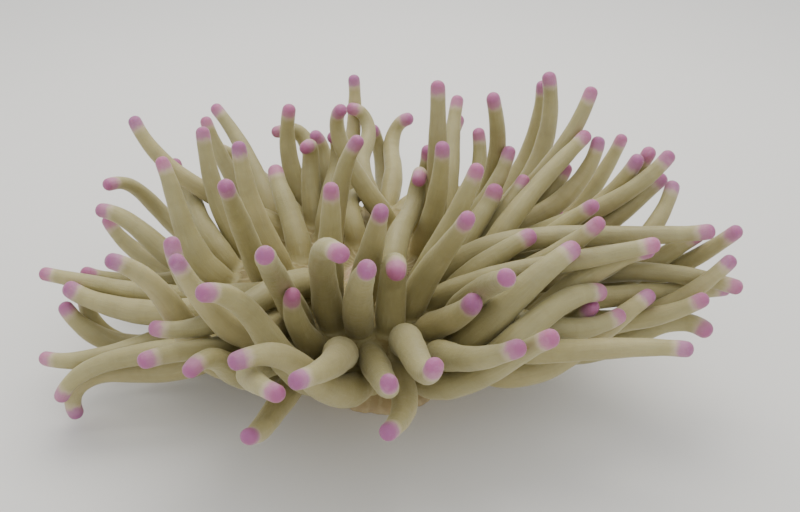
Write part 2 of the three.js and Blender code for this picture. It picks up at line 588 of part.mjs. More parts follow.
put("pedal_disc", foot(), COLUMN);
put("column", column(), COLUMN);
const mouth = mouthSolid();
put("oral_disc", oralDisc(), DISC);
put("mouth", mainPiece(mouth.subtract(seat)), LIP);

// Where two tentacles of different pieces press together, the later one gives way.
const placed = [];
const boxesMeet = (a, b) => {
  const [p, q] = [a.boundingBox(), b.boundingBox()];
  return [0, 1, 2].every((i) => p.min[i] < q.max[i] && q.min[i] < p.max[i]);
};
for (const n of nodes) {
  let body = null;
  for (const t of n.tentacles) {
    let flesh = t.body;
    if (!n.fan) flesh = flesh.subtract(seat);
    for (const o of placed)
      if (boxesMeet(flesh, o.swollen) && flesh.intersect(o.swollen).volume() > 1e-3)
        flesh = flesh.subtract(o.swollen);
    flesh = mainPiece(flesh);
    body = body ? body.add(flesh) : flesh;
  }
  if (n.fan) body = body.add(giveWay(marginSegment(fans.indexOf(n)), n));
  for (const t of n.tentacles) placed.push(t);
  put(n.name, mainPiece(body).simplify(SIMPLIFY), FLESH);
}

export default anemone;
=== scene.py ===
# A giant sea anemone (Condylactis gigantea) standing open on its foot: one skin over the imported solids.
# Sizes are millimetres until a mesh is made; +Z up, the front is -Y, the same frame and the same table as the CAD.
import json
import math

import bpy
import numpy as np
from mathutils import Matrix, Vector

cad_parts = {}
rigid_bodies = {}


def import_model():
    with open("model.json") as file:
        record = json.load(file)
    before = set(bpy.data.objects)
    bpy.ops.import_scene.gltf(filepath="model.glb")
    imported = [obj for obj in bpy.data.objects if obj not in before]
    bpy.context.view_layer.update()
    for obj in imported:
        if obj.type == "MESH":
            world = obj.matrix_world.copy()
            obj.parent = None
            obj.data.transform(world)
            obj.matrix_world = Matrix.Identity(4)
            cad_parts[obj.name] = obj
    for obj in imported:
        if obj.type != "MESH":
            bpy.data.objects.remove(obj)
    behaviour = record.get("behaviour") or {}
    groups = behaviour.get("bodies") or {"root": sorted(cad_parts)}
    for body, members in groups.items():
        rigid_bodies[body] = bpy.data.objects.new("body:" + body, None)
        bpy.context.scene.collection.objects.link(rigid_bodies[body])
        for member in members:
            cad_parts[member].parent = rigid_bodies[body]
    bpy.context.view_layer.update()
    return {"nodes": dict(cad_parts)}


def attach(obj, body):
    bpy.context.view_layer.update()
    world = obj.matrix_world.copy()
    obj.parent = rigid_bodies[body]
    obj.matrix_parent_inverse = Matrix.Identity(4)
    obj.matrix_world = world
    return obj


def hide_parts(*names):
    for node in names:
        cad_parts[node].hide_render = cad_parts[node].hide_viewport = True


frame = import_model()

# ---- Body sizes, as in the CAD ----
DISC_LEVEL = 46.0
DISH_DEPTH = 2.5
DISH_RADIUS = 40.0
DISC_FLAT = 53.0
RIM_ROUND = 13.0
COLUMN_WAIST = 31.0
FOOT_RADIUS = 42.0
FOOT_LOBES = 5
MOUTH_LENGTH, MOUTH_WIDTH, LIP_HEIGHT = 27.0, 19.0, 3.4
SLIT_LENGTH, SLIT_WIDTH, SLIT_DEPTH = 17.0, 2.2, 4.5
NECK_PINCH, NECK_LENGTH, TAPER_POWER = 0.25, 0.16, 0.85
LIP_FOLDS = 16

# ---- Skin ----
TUBE_SIDES = 18
BODY_SEGMENTS = 168
ROOT_FILLET = 5.5  # how widely a tentacle's root flows into the disc
ROOT_WEB = 1.6  # and into the root beside it
FILLET_HEIGHT = 9.0

# One row for each tentacle: azimuth of the root (degrees from +X towards +Y), its distance from the mouth over the disc,
# length to the centre of the round tip, tip radius, base radius,
# lean from the vertical, outwards, at base, middle and tip, sideways swing at base, middle and tip (degrees),
# and, where the last half curls, the extra lean and swing of the tip.
INNER = [
    [9.9, 40.7, 43.8, 2.9, 5.65, 40.9, 40.8, 34.8, 0.7, 14.6, 24.8],
    [21.5, 30.8, 56.6, 2.9, 5.6, 45, 40, 22.3, 5.1, 3.2, 12.5, -2.9, -2.9],
    [26.4, 46.5, 77.6, 2.9, 6.41, 57.7, 58.5, 34.2, -31.1, -10.7, 28.4, -21.3, -21.7],
    [41, 24.9, 62.6, 2.9, 5.66, -4.3, -2.7, -2.8, -29.2, -16.9, -3.5],
    [41.2, 36.5, 78.8, 2.9, 5.5, -11.6, -3.3, 8, -9.6, -3.6, 10.9, -5.4, -5.4],
    [49, 46.8, 65.9, 2.9, 5.5, 36.6, 45.7, 53.2, 15.3, 26.6, 32.7, -22.5, -22.5],
    [62.8, 38.3, 45.8, 2.9, 5.5, 14.4, -4.4, -22.4, -8.7, -10.6, -10.1],
    [80.8, 41.5, 65.1, 2.9, 5.5, -0.4, 8.8, 27.2, 36.2, 30.2, 18.2, -66.8, -50.6],
    [108.6, 24.8, 42.6, 2.9, 5.77, 23, 82.9, 134.5, 10, -14.6, -49.3, -128.6, -124.2],
    [111.6, 47.3, 44, 2.95, 5.5, 43.7, 43.7, 42.3, 3.5, -3.8, -16.8, -54.9, 52.4],
    [132.6, 35, 56.5, 2.9, 5.5, 27, 43.1, 57.2, -23.4, -44.9, -49.5, -106.3, 107.5],
    [141.2, 45.5, 91.8, 2.9, 5.5, 60.8, 57.3, 28.3, 23.2, 25.8, 1.4],
    [146.7, 25, 58.7, 2.9, 5.59, -5.8, -8.6, -12.1, -8.2, -5.4, -3.2, -18.9, -7.5],
    [163.2, 34.5, 45.3, 3.34, 6.37, 27, 44.9, 53.7, -37.1, -38.7, -33, -20.6, -7.9],
    [-178, 39, 59, 2.9, 5.73, 26.7, 16.9, 3.6, -5.5, -7.7, -9.6],
    [-155.1, 24.9, 92.5, 2.9, 7.3, 39.4, 80, 109.5, 32.2, 32.2, 21.4, -29.6, -51.6],
    [-152.9, 44.9, 86.8, 2.9, 6.25, 58.9, 48.4, 22.7, 20.9, 35.8, 33.5, -25.1, -57],
    [-121, 36.7, 63, 2.9, 7.28, 10.3, 6.7, 5.3, 10.3, 9.5, 5.8],
    [-101.6, 28.8, 67.5, 2.9, 7.08, 17.4, 23.1, 27.5, 10.7, 13.4, 14.1],
    [-78.1, 31.1, 82.4, 3, 6.01, -23.9, -86.2, -137.2, 9.8, 27.7, 66.9, 261.4, -93.7],
    [-68.8, 39.4, 65.5, 2.91, 6.61, 5.4, 28.3, 33.7, 10.4, 12.3, 1],
    [-54.8, 34.9, 98.6, 2.9, 5.5, 39, 61.5, 63.7, 19.8, 36.9, 47.6],
    [-51.8, 24.9, 63.4, 2.9, 6.02, 13.3, 13.8, 10.1, 22.1, 21, 15.5],
    [-34.1, 38.7, 43.8, 3.49, 6.52, 27.5, 41.4, 50.6, 4.2, 20.8, 38.8, 3.5, -3.5],
    [-24.9, 26.2, 119.3, 2.9, 5.94, 31.4, 78.3, 74.3, 15.3, 12.6, 12.1],
    [-17.6, 41.3, 64.2, 2.9, 5.65, 49.2, 69.7, 66.5, 5.2, 10.8, 20.8],
    [-4.6, 44, 78.3, 2.9, 5.78, 23.5, 46.4, 70.8, 6, 36.1, 44.6, -25.6, -25],
    [-3.9, 32.7, 41.6, 3.59, 5.85, 16.1, 37.5, 71.2, 8.1, 35.2, 61.9, -57.4, -57.4],
]
FANS = [
    [
        [10.4, 53.9, 89, 2.9, 5.5, 41.9, 51.5, 35.9, -18.3, -22.4, 0.4],
        [14.4, 62.6, 77.2, 2.9, 5.91, 59.4, 37, 15.4, -21.6, -21.9, -15.5],
        [18.8, 71.4, 88.2, 2.9, 5.65, 68.1, 30.1, 8.4, -19.7, -23.7, -19.9],
    ],
    [
        [24, 63.1, 47.4, 2.9, 6.12, 63, 38, 30.5, -11.6, -2.1, 1.3],
        [29, 71.2, 81.7, 2.9, 5.86, 87.1, 50.4, 22.2, -11.8, -3.7, -2.9],
        [33.8, 56.1, 83.5, 2.9, 5.86, 43.1, 34.2, 24.6, -24.5, -14.7, 3.7],
    ],
    [
        [38.4, 71.1, 43.3, 2.9, 5.74, 91, 52.1, 18.8, -14.5, -20.4, -24.2, -77.9, -78.5],
        [43.7, 60.6, 75.1, 2.9, 5.5, 23.8, -6.7, -21.5, -21.7, -11.9, -3.6],
        [48.8, 71, 92, 3.21, 6.22, 73.8, 33, -2.7, -25.9, -7, 13.3],
    ],
    [
        [54.1, 58.5, 46.6, 2.9, 5.5, 52.9, 42.6, 29.6, -26.9, 6.6, 41.1, -31.8, -31.2],
        [59.8, 71.1, 95.1, 2.9, 6.09, 94.5, 42, -0.3, -36.8, -13.4, 2.1],
        [66.3, 53.6, 52.1, 3.2, 6.2, 45.1, 50.2, 53.8, -2.4, -0.9, 0.1, -8.3, -8.3],
    ],
    [
        [78.6, 59.6, 43.5, 2.9, 5.78, 79.4, 63.7, 42.7, -32.8, -68.9, -94.9, 44.7, -83.3],
        [86.3, 66.3, 66.6, 3.32, 5.5, 62.6, 77.8, 94.8, -5.6, 7.3, 53.8, -124.7, -119.4],
        [90.7, 56.8, 69.2, 2.98, 5.5, 45, 78.2, 118, 23.4, -8, -89.7, -161.8, 166.9],
    ],
    [
        [94.2, 71.1, 68.8, 2.9, 5.89, 96.6, 70.3, 46.4, -28.9, -2.9, 25.2, -103, -10.7],
        [102.8, 56.7, 43.9, 2.9, 5.81, 69.9, 114.2, 159.5, 14, 30.4, 40.5, -139.7, 134.4],
        [103.7, 71, 80.1, 2.9, 5.5, 75.2, 46.4, 21.2, -12, -14.4, -14.9, -13.8, 17.5],
    ],
    [
        [113.3, 71, 63, 3.12, 5.96, 58.6, 23.3, -1.9, 29.3, 6.3, -18.5, -12, 12],
        [117.3, 58.9, 61.3, 2.9, 5.87, 49.9, 63.4, 69.4, -12.7, -13.1, -9.8, -146, 146.6],
        [123.3, 71.2, 55.6, 3.2, 6.2, 117.9, 118.6, 118.9, 9.7, 6.1, 3, -97.3, 98.4],
    ],
    [
        [125.8, 48.2, 46.3, 2.9, 5.96, 38, 25.8, 6.8, -9.8, -16.5, -33.8, -98, 102.6],
        [128.3, 60.7, 70, 3.2, 6.2, 79.8, 81.6, 82.1, -7, -2.4, 0.3, -65.2, 65.5],
        [132, 71.2, 73.9, 2.9, 5.52, 81.9, 52.5, 30.7, 8.8, 2.4, 0.4],
    ],
    [
        [140, 71.3, 104.5, 2.9, 5.79, 136, 57.5, -11.9, 21.3, 15.4, 6.9, -23.6, 73.3],
        [141, 60.1, 71.8, 2.9, 5.5, 47.3, 57.2, 66, -18.5, -18.1, -14.4, -26, 25.9],
        [149.9, 71.5, 83.4, 2.9, 7.3, 132.4, 83.1, 25.9, 21.8, 19.9, 5],
    ],
    [
        [160.3, 71.2, 74.5, 2.9, 5.99, 120.1, 73.6, 26.2, 17, 43.7, 42.5],
        [164.6, 60.6, 58.7, 2.9, 5.5, 42.7, 22, 9, -10.5, -13.2, -14.6],
        [170.2, 71.2, 65.7, 3.01, 6.98, 81.9, 51.7, 33.3, 19.1, -3.6, -17.4, 49.9, 23.9],
    ],
    [
        [176, 62.6, 69.2, 2.9, 6.08, 44.9, 67, 108.4, -10.2, -63.1, -84.1, -126.5, 126.6],
        [179.9, 71.8, 89.1, 2.9, 6.29, 165.3, 85.2, -3.8, 8.6, 12.4, -11.3],
        [-174.5, 63.5, 61.6, 2.9, 6.76, 62.4, 18.1, 21.1, -2.7, -19.4, -19.8],
    ],
    [
        [-169.7, 72.6, 77.8, 3.06, 7.3, 135.5, 86.9, 25.8, 9.4, -2.8, -14.3],
        [-165.6, 47.9, 74.6, 2.9, 5.99, 13.4, 12.3, 11.7, 20.6, 27.3, 30.2],
        [-165.3, 61.6, 81.7, 2.9, 5.5, 89.6, 84.8, 78.2, 0.7, -22.9, -17.4],
    ],
    [
        [-160.5, 71.3, 75.9, 2.94, 6.28, 94.8, 92, 88.5, 4.4, 7.4, -5.4, 3.3, -36.3],
        [-155.9, 60.3, 77.3, 3.43, 7.21, 80, 97.3, 115.3, 15.5, -38.9, -80.1, -68, 59.1],
        [-151.6, 72.2, 81.4, 3.24, 6.31, 133.9, 87, 69.2, 2.1, -23.5, -28, 124, 53.4],
    ],
    [
        [-145.9, 61.3, 70.1, 2.9, 5.92, 81.6, 61.6, 84.5, 70.7, 22.9, 6.9],
        [-143.4, 71.3, 78.9, 2.9, 5.5, 78.9, 93.3, 107, -12.1, -26.4, -24.5, 47.4, 14.7],
        [-137.4, 49, 85.6, 2.9, 7.3, 70.6, 47.3, -42.7, 40.9, 7.9, -66.6, 61.3, 61.1],
    ],
    [
        [-134.7, 72.8, 80.6, 2.97, 7.3, 96.2, 19.2, 59.7, -7.2, -10.5, -26.9],
        [-125, 71.7, 60, 2.9, 6.9, 84.1, 39.4, 23.6, -2.2, 6.7, 7.6, 77.9, 0.8],
        [-119.6, 63.2, 83.2, 2.9, 5.79, 74.2, 55.4, 54.5, 6.1, 22.7, 73.3],
    ],
    [
        [-118.5, 53.7, 99.7, 2.9, 5.83, 22, 38.6, 53.9, -7.6, 16.9, 32.6],
        [-115.7, 71.7, 61, 2.9, 5.86, 97.9, 72.4, 46.5, 1.9, 15.6, 16.7],
        [-111, 59.4, 39.9, 2.9, 6.05, 44.4, 24.1, 14.8, -4.1, -3.7, 4.3, 3.6, 14.9],
    ],
    [
        [-109.4, 47.5, 86.1, 3.04, 6.64, 13.9, 32.2, 48.4, -1.6, 12.6, 23.1, 23.4, 25.7],
        [-105.7, 71.3, 86.9, 2.92, 7.3, 58, 22.1, 2.8, -8.3, -13.5, -15.1, 65.3, -7.5],
        [-101, 60.7, 77.4, 2.9, 7.3, 47, 59.9, 69.7, 7.4, 7.7, -25.2],
    ],
    [
        [-95.8, 48, 80.7, 3.06, 6.61, 27.6, 40, 47.9, 0.7, 8.1, 13, -0.1, -1.6],
        [-93.1, 71.2, 80.3, 2.9, 7.3, 73.6, 30.2, 10.8, -20.7, -20.1, -18.9, 81.7, -38.1],
        [-91.1, 58.5, 72.3, 2.9, 5.92, 75.5, 63.3, 52.5, 13, 8.5, 4.4, -13.5, -4.9],
    ],
    [
        [-82.6, 65.4, 62.4, 2.9, 5.8, 85.6, 71.1, 60.7, 13.5, -10, -21.4],
        [-81.7, 48.2, 49.1, 3.42, 6.72, -11.5, 13.3, 60, 3.7, 1.7, -1.4, 43.4, -7.4],
        [-76.4, 57.9, 77.5, 2.9, 7.19, 32, 72.7, 90.7, -12.4, -4.8, 1.2, -66, -1.2],
    ],
    [
        [-74.9, 71.3, 78.7, 3, 5.5, 73.6, 39.6, 27.7, 17.5, 23.2, 22.5, 13.5, 4.4],
        [-67.4, 63.6, 68.7, 3.17, 6.37, 45.8, 58.2, 43.2, -10.4, 0.8, 31.7],
        [-66.9, 50.8, 40.7, 3.68, 6.36, 42.5, 46.5, 34.2, 10.4, 11.2, 2.7],
    ],
    [
        [-61.8, 71.8, 75.9, 3.5, 6.75, 69.7, 8.4, -31.4, -1, 50.8, 80.4, -3.2, 25.6],
        [-56.7, 61.7, 63.3, 3.61, 7.17, 49.4, 20.2, 4.9, -1, 38.4, 74.1, 12.6, -12],
        [-54.6, 51.1, 92.1, 2.9, 5.72, 25.6, 48.3, 45.9, 9.5, -17.2, -34.5],
    ],
    [
        [-52.4, 72, 78.9, 3.06, 6.5, 108.3, 34.8, -0.9, 23.4, 57.9, 86.4, 26.9, -27.7],
        [-46, 63.9, 84.5, 2.95, 5.5, 76.6, 70.5, 89.6, -20.1, 23.9, 35.5],
        [-40, 71.4, 73.7, 2.9, 6.71, 46.3, 34.6, 82, 6.5, 32.8, 35.3, -13.1, -13.2],
    ],
    [
        [-39, 51.4, 69.9, 2.97, 6.8, 46.1, 90.2, 87.7, -26.9, 16.9, 97.4, -29.5, -31.1],
        [-33.2, 61.3, 95.8, 3.21, 5.77, 56.9, 90.1, 93.7, 22.3, 41.8, 46.7, -7.8, -7.9],
        [-29.8, 71.4, 43.5, 2.9, 6.13, 86.5, 48.6, 32, 0.2, -3.7, -1.3],
        [-27.1, 51.4, 62.9, 2.9, 6.45, 40.2, 46, 36.9, -2.3, 3, 7.1],
    ],
    [
        [-22.8, 62, 80.2, 2.9, 5.75, 99.8, 75.6, 49.2, 8.5, 0.7, 6.6],
        [-21.1, 73.3, 82, 3.55, 6.37, 133.1, 68, 33.9, -9.6, 25.7, 31.1, 70.4, -55.4],
        [-13.2, 57.3, 88.9, 2.9, 5.5, 68.3, 58.4, 7, -18.6, 14.4, 60.8, 7.2, -8],
    ],
    [
        [-12.2, 71.3, 93.4, 2.9, 5.5, 106.1, 60.3, 41.8, -15.8, -6.6, 18.3],
        [-7.5, 64.2, 90.2, 2.9, 5.5, 62.1, 76.4, 97.8, -4.8, -11.3, -14.2],
        [-2.8, 55.3, 52.8, 2.9, 6.23, 38, 41.2, 41.5, -10, -9.9, -15.3],
    ],
    [
        [-1.9, 71.7, 80.5, 2.9, 6.45, 90.8, 56, 51.1, -29.8, -4.6, -2.5],
        [3.9, 63.4, 75.1, 2.9, 6.34, 59.4, 47.7, 50.8, -21.9, -5.3, 11.2],
        [9.2, 71.4, 102.7, 2.9, 5.95, 101.6, 56.8, 28.9, -34.7, -26.6, -24.1],
    ],
]
TENTACLES = INNER + [row for fan in FANS for row in fan]


def lerp_table(x, points):
    return np.interp(x, [p[0] for p in points], [p[1] for p in points])


def smoothstep(a, b, x):
    t = np.clip((x - a) / (b - a), 0, 1)
    return t * t * (3 - 2 * t)


def dish(r):
    return DISC_LEVEL - DISH_DEPTH * np.maximum(0, 1 - (r / DISH_RADIUS) ** 2)


def on_disc(out, azimuth):
    over = max(0.0, (out - DISC_FLAT) / RIM_ROUND)
    if over:
        r = DISC_FLAT + RIM_ROUND * math.sin(over)
        z = DISC_LEVEL - RIM_ROUND + RIM_ROUND * math.cos(over)
    else:
        r, z = out, float(dish(out))
    return np.array([r * math.cos(azimuth), r * math.sin(azimuth), z])


# ---- Tentacles ----
class Tentacle:
    """The bend and the thickness of one tentacle; `place` and `radius` take millimetres from its root."""

    FINE = 160

    def __init__(self, index, row):
        az, self.out, self.length, self.tip, self.base = row[:5]
        lean, swing = row[5:8], row[8:11]
        curl = row[11:13] if len(row) > 11 else (0.0, 0.0)
        self.index = index
        self.azimuth = a = math.radians(az)
        n = self.FINE
        s = (np.arange(n) + 0.5) / n

        def through(v):
            return v[0] * 2 * (s - 0.5) * (s - 1) - v[1] * 4 * s * (s - 1) + v[2] * 2 * s * (s - 0.5)

        weight = np.maximum(0, (s - 0.5) / 0.5) ** 2
        le = np.radians(through(lean) + curl[0] * weight)
        sw = np.radians(through(swing) + curl[1] * weight)
        out = np.array([math.cos(a), math.sin(a), 0.0])
        side = np.array([-math.sin(a), math.cos(a), 0.0])
        up = np.array([0.0, 0.0, 1.0])
        step = (
            np.outer(np.sin(le) * np.cos(sw), out)
            + np.outer(np.sin(sw), side)
            + np.outer(np.cos(le) * np.cos(sw), up)
        )
        self.root = on_disc(self.out, a)
        self.nodes = np.vstack([self.root, self.root + np.cumsum(step, 0) * self.length / n])
        d = np.vstack([step[:1], (step[1:] + step[:-1]) / 2, step[-1:]])
        self.dirs = d / np.linalg.norm(d, axis=1)[:, None]
        # frames carried along the bend without twist
        across = np.zeros_like(self.dirs)
        w = side - self.dirs[0] * (side @ self.dirs[0])
        across[0] = w / np.linalg.norm(w)
        for k in range(1, n + 1):
            w = across[k - 1] - self.dirs[k] * (across[k - 1] @ self.dirs[k])
            across[k] = w / np.linalg.norm(w)
        self.across = across
        self.over = np.cross(self.dirs, across)
        rng = np.random.default_rng(1000 + int(az * 10) % 3600 + int(self.length * 10))
        self.phase = rng.uniform(0, 2 * math.pi, 6)
        self.tone = rng.uniform(0, 1, 3)

    def spread(self, table, mm):
        k = np.clip(np.asarray(mm, float) / self.length, 0, 1) * self.FINE
        i = np.minimum(k.astype(int), self.FINE - 1)
        f = (k - i)[..., None]
        return table[i] * (1 - f) + table[i + 1] * f

    def place(self, mm):
        mm = np.asarray(mm, float)
        p = self.spread(self.nodes, mm)
        beyond = np.minimum(mm, 0)[..., None] * self.dirs[0] + np.maximum(mm - self.length, 0)[..., None] * self.dirs[-1]
        return p + beyond

    def radius(self, mm):
        s = np.clip(np.asarray(mm, float) / self.length, 0, 1)
        taper = self.tip + (self.base - self.tip) * (1 - s) ** TAPER_POWER
        neck = 1 - NECK_PINCH * np.maximum(0, 1 - s / NECK_LENGTH) ** 1.3
        ends = smoothstep(6, 16, mm) * smoothstep(0, 10, self.length - mm)
        wave = 0.022 * np.sin(mm / 5.1 + self.phase[0]) + 0.014 * np.sin(mm / 2.3 + self.phase[1])
        knob = 0.045 * np.exp(-(((mm - self.length + 0.2) / 2.6) ** 2)) - 0.03 * np.exp(-(((mm - self.length + 7.5) / 3.0) ** 2))
        return taper * neck * (1 + wave * ends + knob)

    def mesh(self):
        """A closed tube with a round tip and a round root, as points and quads, with one UV corner list."""
        L, r0 = self.length, float(self.radius(0.0))
        rings = []  # millimetres along, radius
        for turn in (65, 40, 18):
            rings.append((-r0 * math.sin(math.radians(turn)), r0 * math.cos(math.radians(turn))))
        marks = list(np.arange(0, 13, 1.3))
        body = np.arange(marks[-1] + 1.9, L - 7.5, 2.3)
        marks += list(body)
        marks += list(np.linspace(marks[-1], L, max(3, int(round((L - marks[-1]) / 1.35)) + 1))[1:])
        for m in marks:
            rings.append((m, float(self.radius(m))))
        tip = float(self.radius(L))
        for turn in (16, 32, 48, 63, 77):
            a = math.radians(turn)
            rings.append((L + 0.94 * tip * math.sin(a), tip * math.cos(a) ** 0.92))
        n = TUBE_SIDES
        t = np.arange(n) * 2 * math.pi / n
        mm = np.array([r[0] for r in rings])
        rad = np.array([r[1] for r in rings])
        centre = self.place(mm)
        ac, ov = self.spread(self.across, mm), self.spread(self.over, mm)
        oval = 1 + 0.03 * np.cos(2 * t[None, :] + self.phase[2] + mm[:, None] / 19) * smoothstep(4, 14, mm)[:, None]
        pts = centre[:, None, :] + (rad[:, None] * oval)[..., None] * (
            np.cos(t)[None, :, None] * ac[:, None, :] + np.sin(t)[None, :, None] * ov[:, None, :]
        )
        pts = pts.reshape(-1, 3)
        pole0 = self.place(-r0)
        pole1 = self.place(L + 0.94 * tip)
        m = len(rings)
        verts = np.vstack([pts, pole0, pole1])
        faces = []
        uvs = []
        total = L + r0 + tip
        vv = (mm + r0) / total
        for k in range(m - 1):
            for j in range(n):
                j2 = (j + 1) % n
                faces.append((k * n + j, k * n + j2, (k + 1) * n + j2, (k + 1) * n + j))
                uvs.append(((j / n, vv[k]), ((j + 1) / n, vv[k]), ((j + 1) / n, vv[k + 1]), (j / n, vv[k + 1])))
        for j in range(n):
            j2 = (j + 1) % n
            faces.append((m * n, j2, j))
            uvs.append((((j + 0.5) / n, 0), ((j + 1) / n, vv[0]), (j / n, vv[0])))
            faces.append((m * n + 1, (m - 1) * n + j, (m - 1) * n + j2))
            uvs.append((((j + 0.5) / n, 1), (j / n, vv[-1]), ((j + 1) / n, vv[-1])))
        return verts, faces, uvs


# ---- Body: disc, margin, column and foot as one turned surface ----
COLUMN = [  # radius, height, from the underside of the margin to the foot
    (65.9, 33.6), (64.9, 31.9), (62.3, 30.7), (58.6, 30.2), (54.6, 29.9), (51.0, 29.2), (47.4, 27.6), (43.6, 25.2),
    (39.8, 22.5), (36.6, 19.6), (34.1, 16.6), (32.4, 13.6), (31.5, 10.8), (31.4, 8.4), (32.1, 6.7), (33.8, 5.4),
    (36.3, 4.4), (38.7, 3.5), (40.6, 2.3), (41.7, 1.2), (41.6, 0.35), (40.8, 0.0),
]


def body_profile():
    """[radius, height] from the mouth to the middle of the underside."""
    pts = [(r, float(dish(r))) for r in np.arange(0.45, 15.5, 0.5)]
    pts += [(r, float(dish(r))) for r in np.linspace(16.2, DISC_FLAT, 20)]
    for turn in range(7, 92, 7):
        a = math.radians(turn)
        pts.append((DISC_FLAT + RIM_ROUND * math.sin(a), DISC_LEVEL - RIM_ROUND + RIM_ROUND * math.cos(a)))
    fine = []
    col = np.array([pts[-1]] + COLUMN)
    d = np.concatenate([[0], np.cumsum(np.linalg.norm(np.diff(col, axis=0), axis=1))])
    for x in np.arange(1.7, d[-1] - 3, 1.7):
        fine.append((float(np.interp(x, d, col[:, 0])), float(np.interp(x, d, col[:, 1]))))
    pts += fine + [COLUMN[-3], COLUMN[-2], COLUMN[-1], (38.5, 0.0), (30.0, 0.0), (15.0, 0.0)]
    return pts


def lips(x, y):
    """Height of the lips and the slit above the disc."""
    a = np.arctan2(y / MOUTH_WIDTH, x / MOUTH_LENGTH)
    r = np.hypot(2 * x / MOUTH_LENGTH, 2 * y / MOUTH_WIDTH)
    fold = np.cos(LIP_FOLDS * a) * smoothstep(0.15, 0.55, r) * (1 - smoothstep(0.95, 1.25, r))
    swell = smoothstep(1.12, 0.66, r) * (1 - 0.30 * smoothstep(0.6, 0.1, r))
    high = LIP_HEIGHT * swell * (1 + 0.09 * fold)
    half = SLIT_WIDTH * 0.75 * np.sqrt(np.maximum(0.02, 1 - np.minimum(1, np.abs(2 * x / (SLIT_LENGTH + 2))) ** 2))
    wander = 0.35 * np.sin(x * 0.9) + 0.12 * np.sin(x * 2.7 + 1)
    slit = np.exp(-(((y - wander) / half) ** 4)) * (1 - smoothstep(0.42, 0.56, np.abs(x) / SLIT_LENGTH))
    return high - SLIT_DEPTH * slit


def body_mesh():
    profile = body_profile()
    n = BODY_SEGMENTS
    t = np.arange(n) * 2 * math.pi / n
    rings, uv_v = [], []
    run, last = 0.0, None
    for k, (r, z) in enumerate(profile):
        below = k > 50 and z < 32.5
        k2 = np.ones(n)
        zz = np.full(n, z)
        if below:
            ridge = smoothstep(32.5, 24, z) * smoothstep(2, 8, z)
            k2 = k2 + 0.012 * np.cos(15 * t) * ridge + 0.006 * np.cos(46 * t + 0.4 * np.sin(3 * t)) * ridge
            k2 = k2 + 0.02 * np.cos(2 * t + 0.6) * smoothstep(30, 12, z)
            low = max(0.0, 1 - z / 14)
            k2 = k2 + low * (0.035 * np.cos(FOOT_LOBES * t + 0.4) + 0.02 * np.cos(3 * t - 1))
            if z < 5:
                frill = smoothstep(5, 1.0, z) * smoothstep(30, 38, r)
                k2 = k2 + frill * (0.010 * np.sin(24 * t + 1.2 * np.sin(5 * t)) + 0.006 * np.sin(53 * t + 2))
            # soft creases round the column
            if z > 5:
                k2 = k2 + 0.006 * np.sin(z * 1.9 + 1.1 * np.sin(3 * t + 1)) * smoothstep(6, 10, z) * smoothstep(26, 18, z)
        x, y = r * k2 * np.cos(t), r * k2 * np.sin(t)
        if not below and z > 40:
            furrow = smoothstep(15, 26, r) * (1 - smoothstep(40, 60, r))
            zz = zz + 0.16 * np.cos(48 * t) * furrow + lips(x, y)
        rings.append(np.stack([x, y, zz], 1))
        if last is not None:
            run += math.hypot(r - last[0], z - last[1])
        last = (r, z)
        uv_v.append(run)
    uv_v = np.array(uv_v) / (run + 16)
    m = len(rings)
    top = np.array([0.0, 0.0, float(dish(0.0) + lips(np.array(0.0), np.array(0.0)))])
    verts = np.vstack(rings + [top, np.zeros(3)])
    faces, uvs = [], []
    for k in range(m - 1):
        for j in range(n):
            j2 = (j + 1) % n
            faces.append((k * n + j, (k + 1) * n + j, (k + 1) * n + j2, k * n + j2))
            uvs.append(((j / n, uv_v[k]), (j / n, uv_v[k + 1]), ((j + 1) / n, uv_v[k + 1]), ((j + 1) / n, uv_v[k])))
    for j in range(n):
        j2 = (j + 1) % n
        faces.append((m * n, j, j2))
        uvs.append((((j + 0.5) / n, 0), (j / n, uv_v[0]), ((j + 1) / n, uv_v[0])))
        faces.append((m * n + 1, (m - 1) * n + j2, (m - 1) * n + j))
        uvs.append((((j + 0.5) / n, 1), ((j + 1) / n, uv_v[-1]), (j / n, uv_v[-1])))
    return verts, faces, uvs


def make_object(name, verts, faces, uvs, place_uv):
    me = bpy.data.meshes.new(name)
    me.from_pydata((verts * 0.001).tolist(), [], faces)
    layer = me.uv_layers.new(name="OFBake")
    flat = []
    for corners in uvs:
        for u, v in corners:
            flat += place_uv(u, v)
    layer.data.foreach_set("uv", flat)
    me.polygons.foreach_set("use_smooth", [True] * len(me.polygons))
    me.update()
    ob = bpy.data.objects.new(name, me)
    bpy.context.scene.collection.objects.link(ob)
    return ob


COLUMNS = 21
ROWS = -(-len(TENTACLES) // COLUMNS)


def tentacle_cell(i):
    """Its own patch of the bake's map: a strip, root at the bottom."""
    cx, cy = i % COLUMNS, i // COLUMNS
    w, h = 1 / COLUMNS, 0.82 / ROWS
    return lambda u, v: [(cx + 0.06 + 0.88 * u) * w, 0.18 + (cy + 0.02 + 0.96 * v) * h]


tentacles = [Tentacle(i, row) for i, row in enumerate(TENTACLES)]
skin = make_object("anemone_skin", *body_mesh(), lambda u, v: [0.005 + 0.99 * u, 0.003 + 0.17 * v])
parts = bpy.data.collections.new("tentacle_parts")
bpy.context.scene.collection.children.link(parts)
for t in tentacles:
    ob = make_object("part_%03d" % t.index, *t.mesh(), tentacle_cell(t.index))
    bpy.context.scene.collection.objects.unlink(ob)
    parts.objects.link(ob)

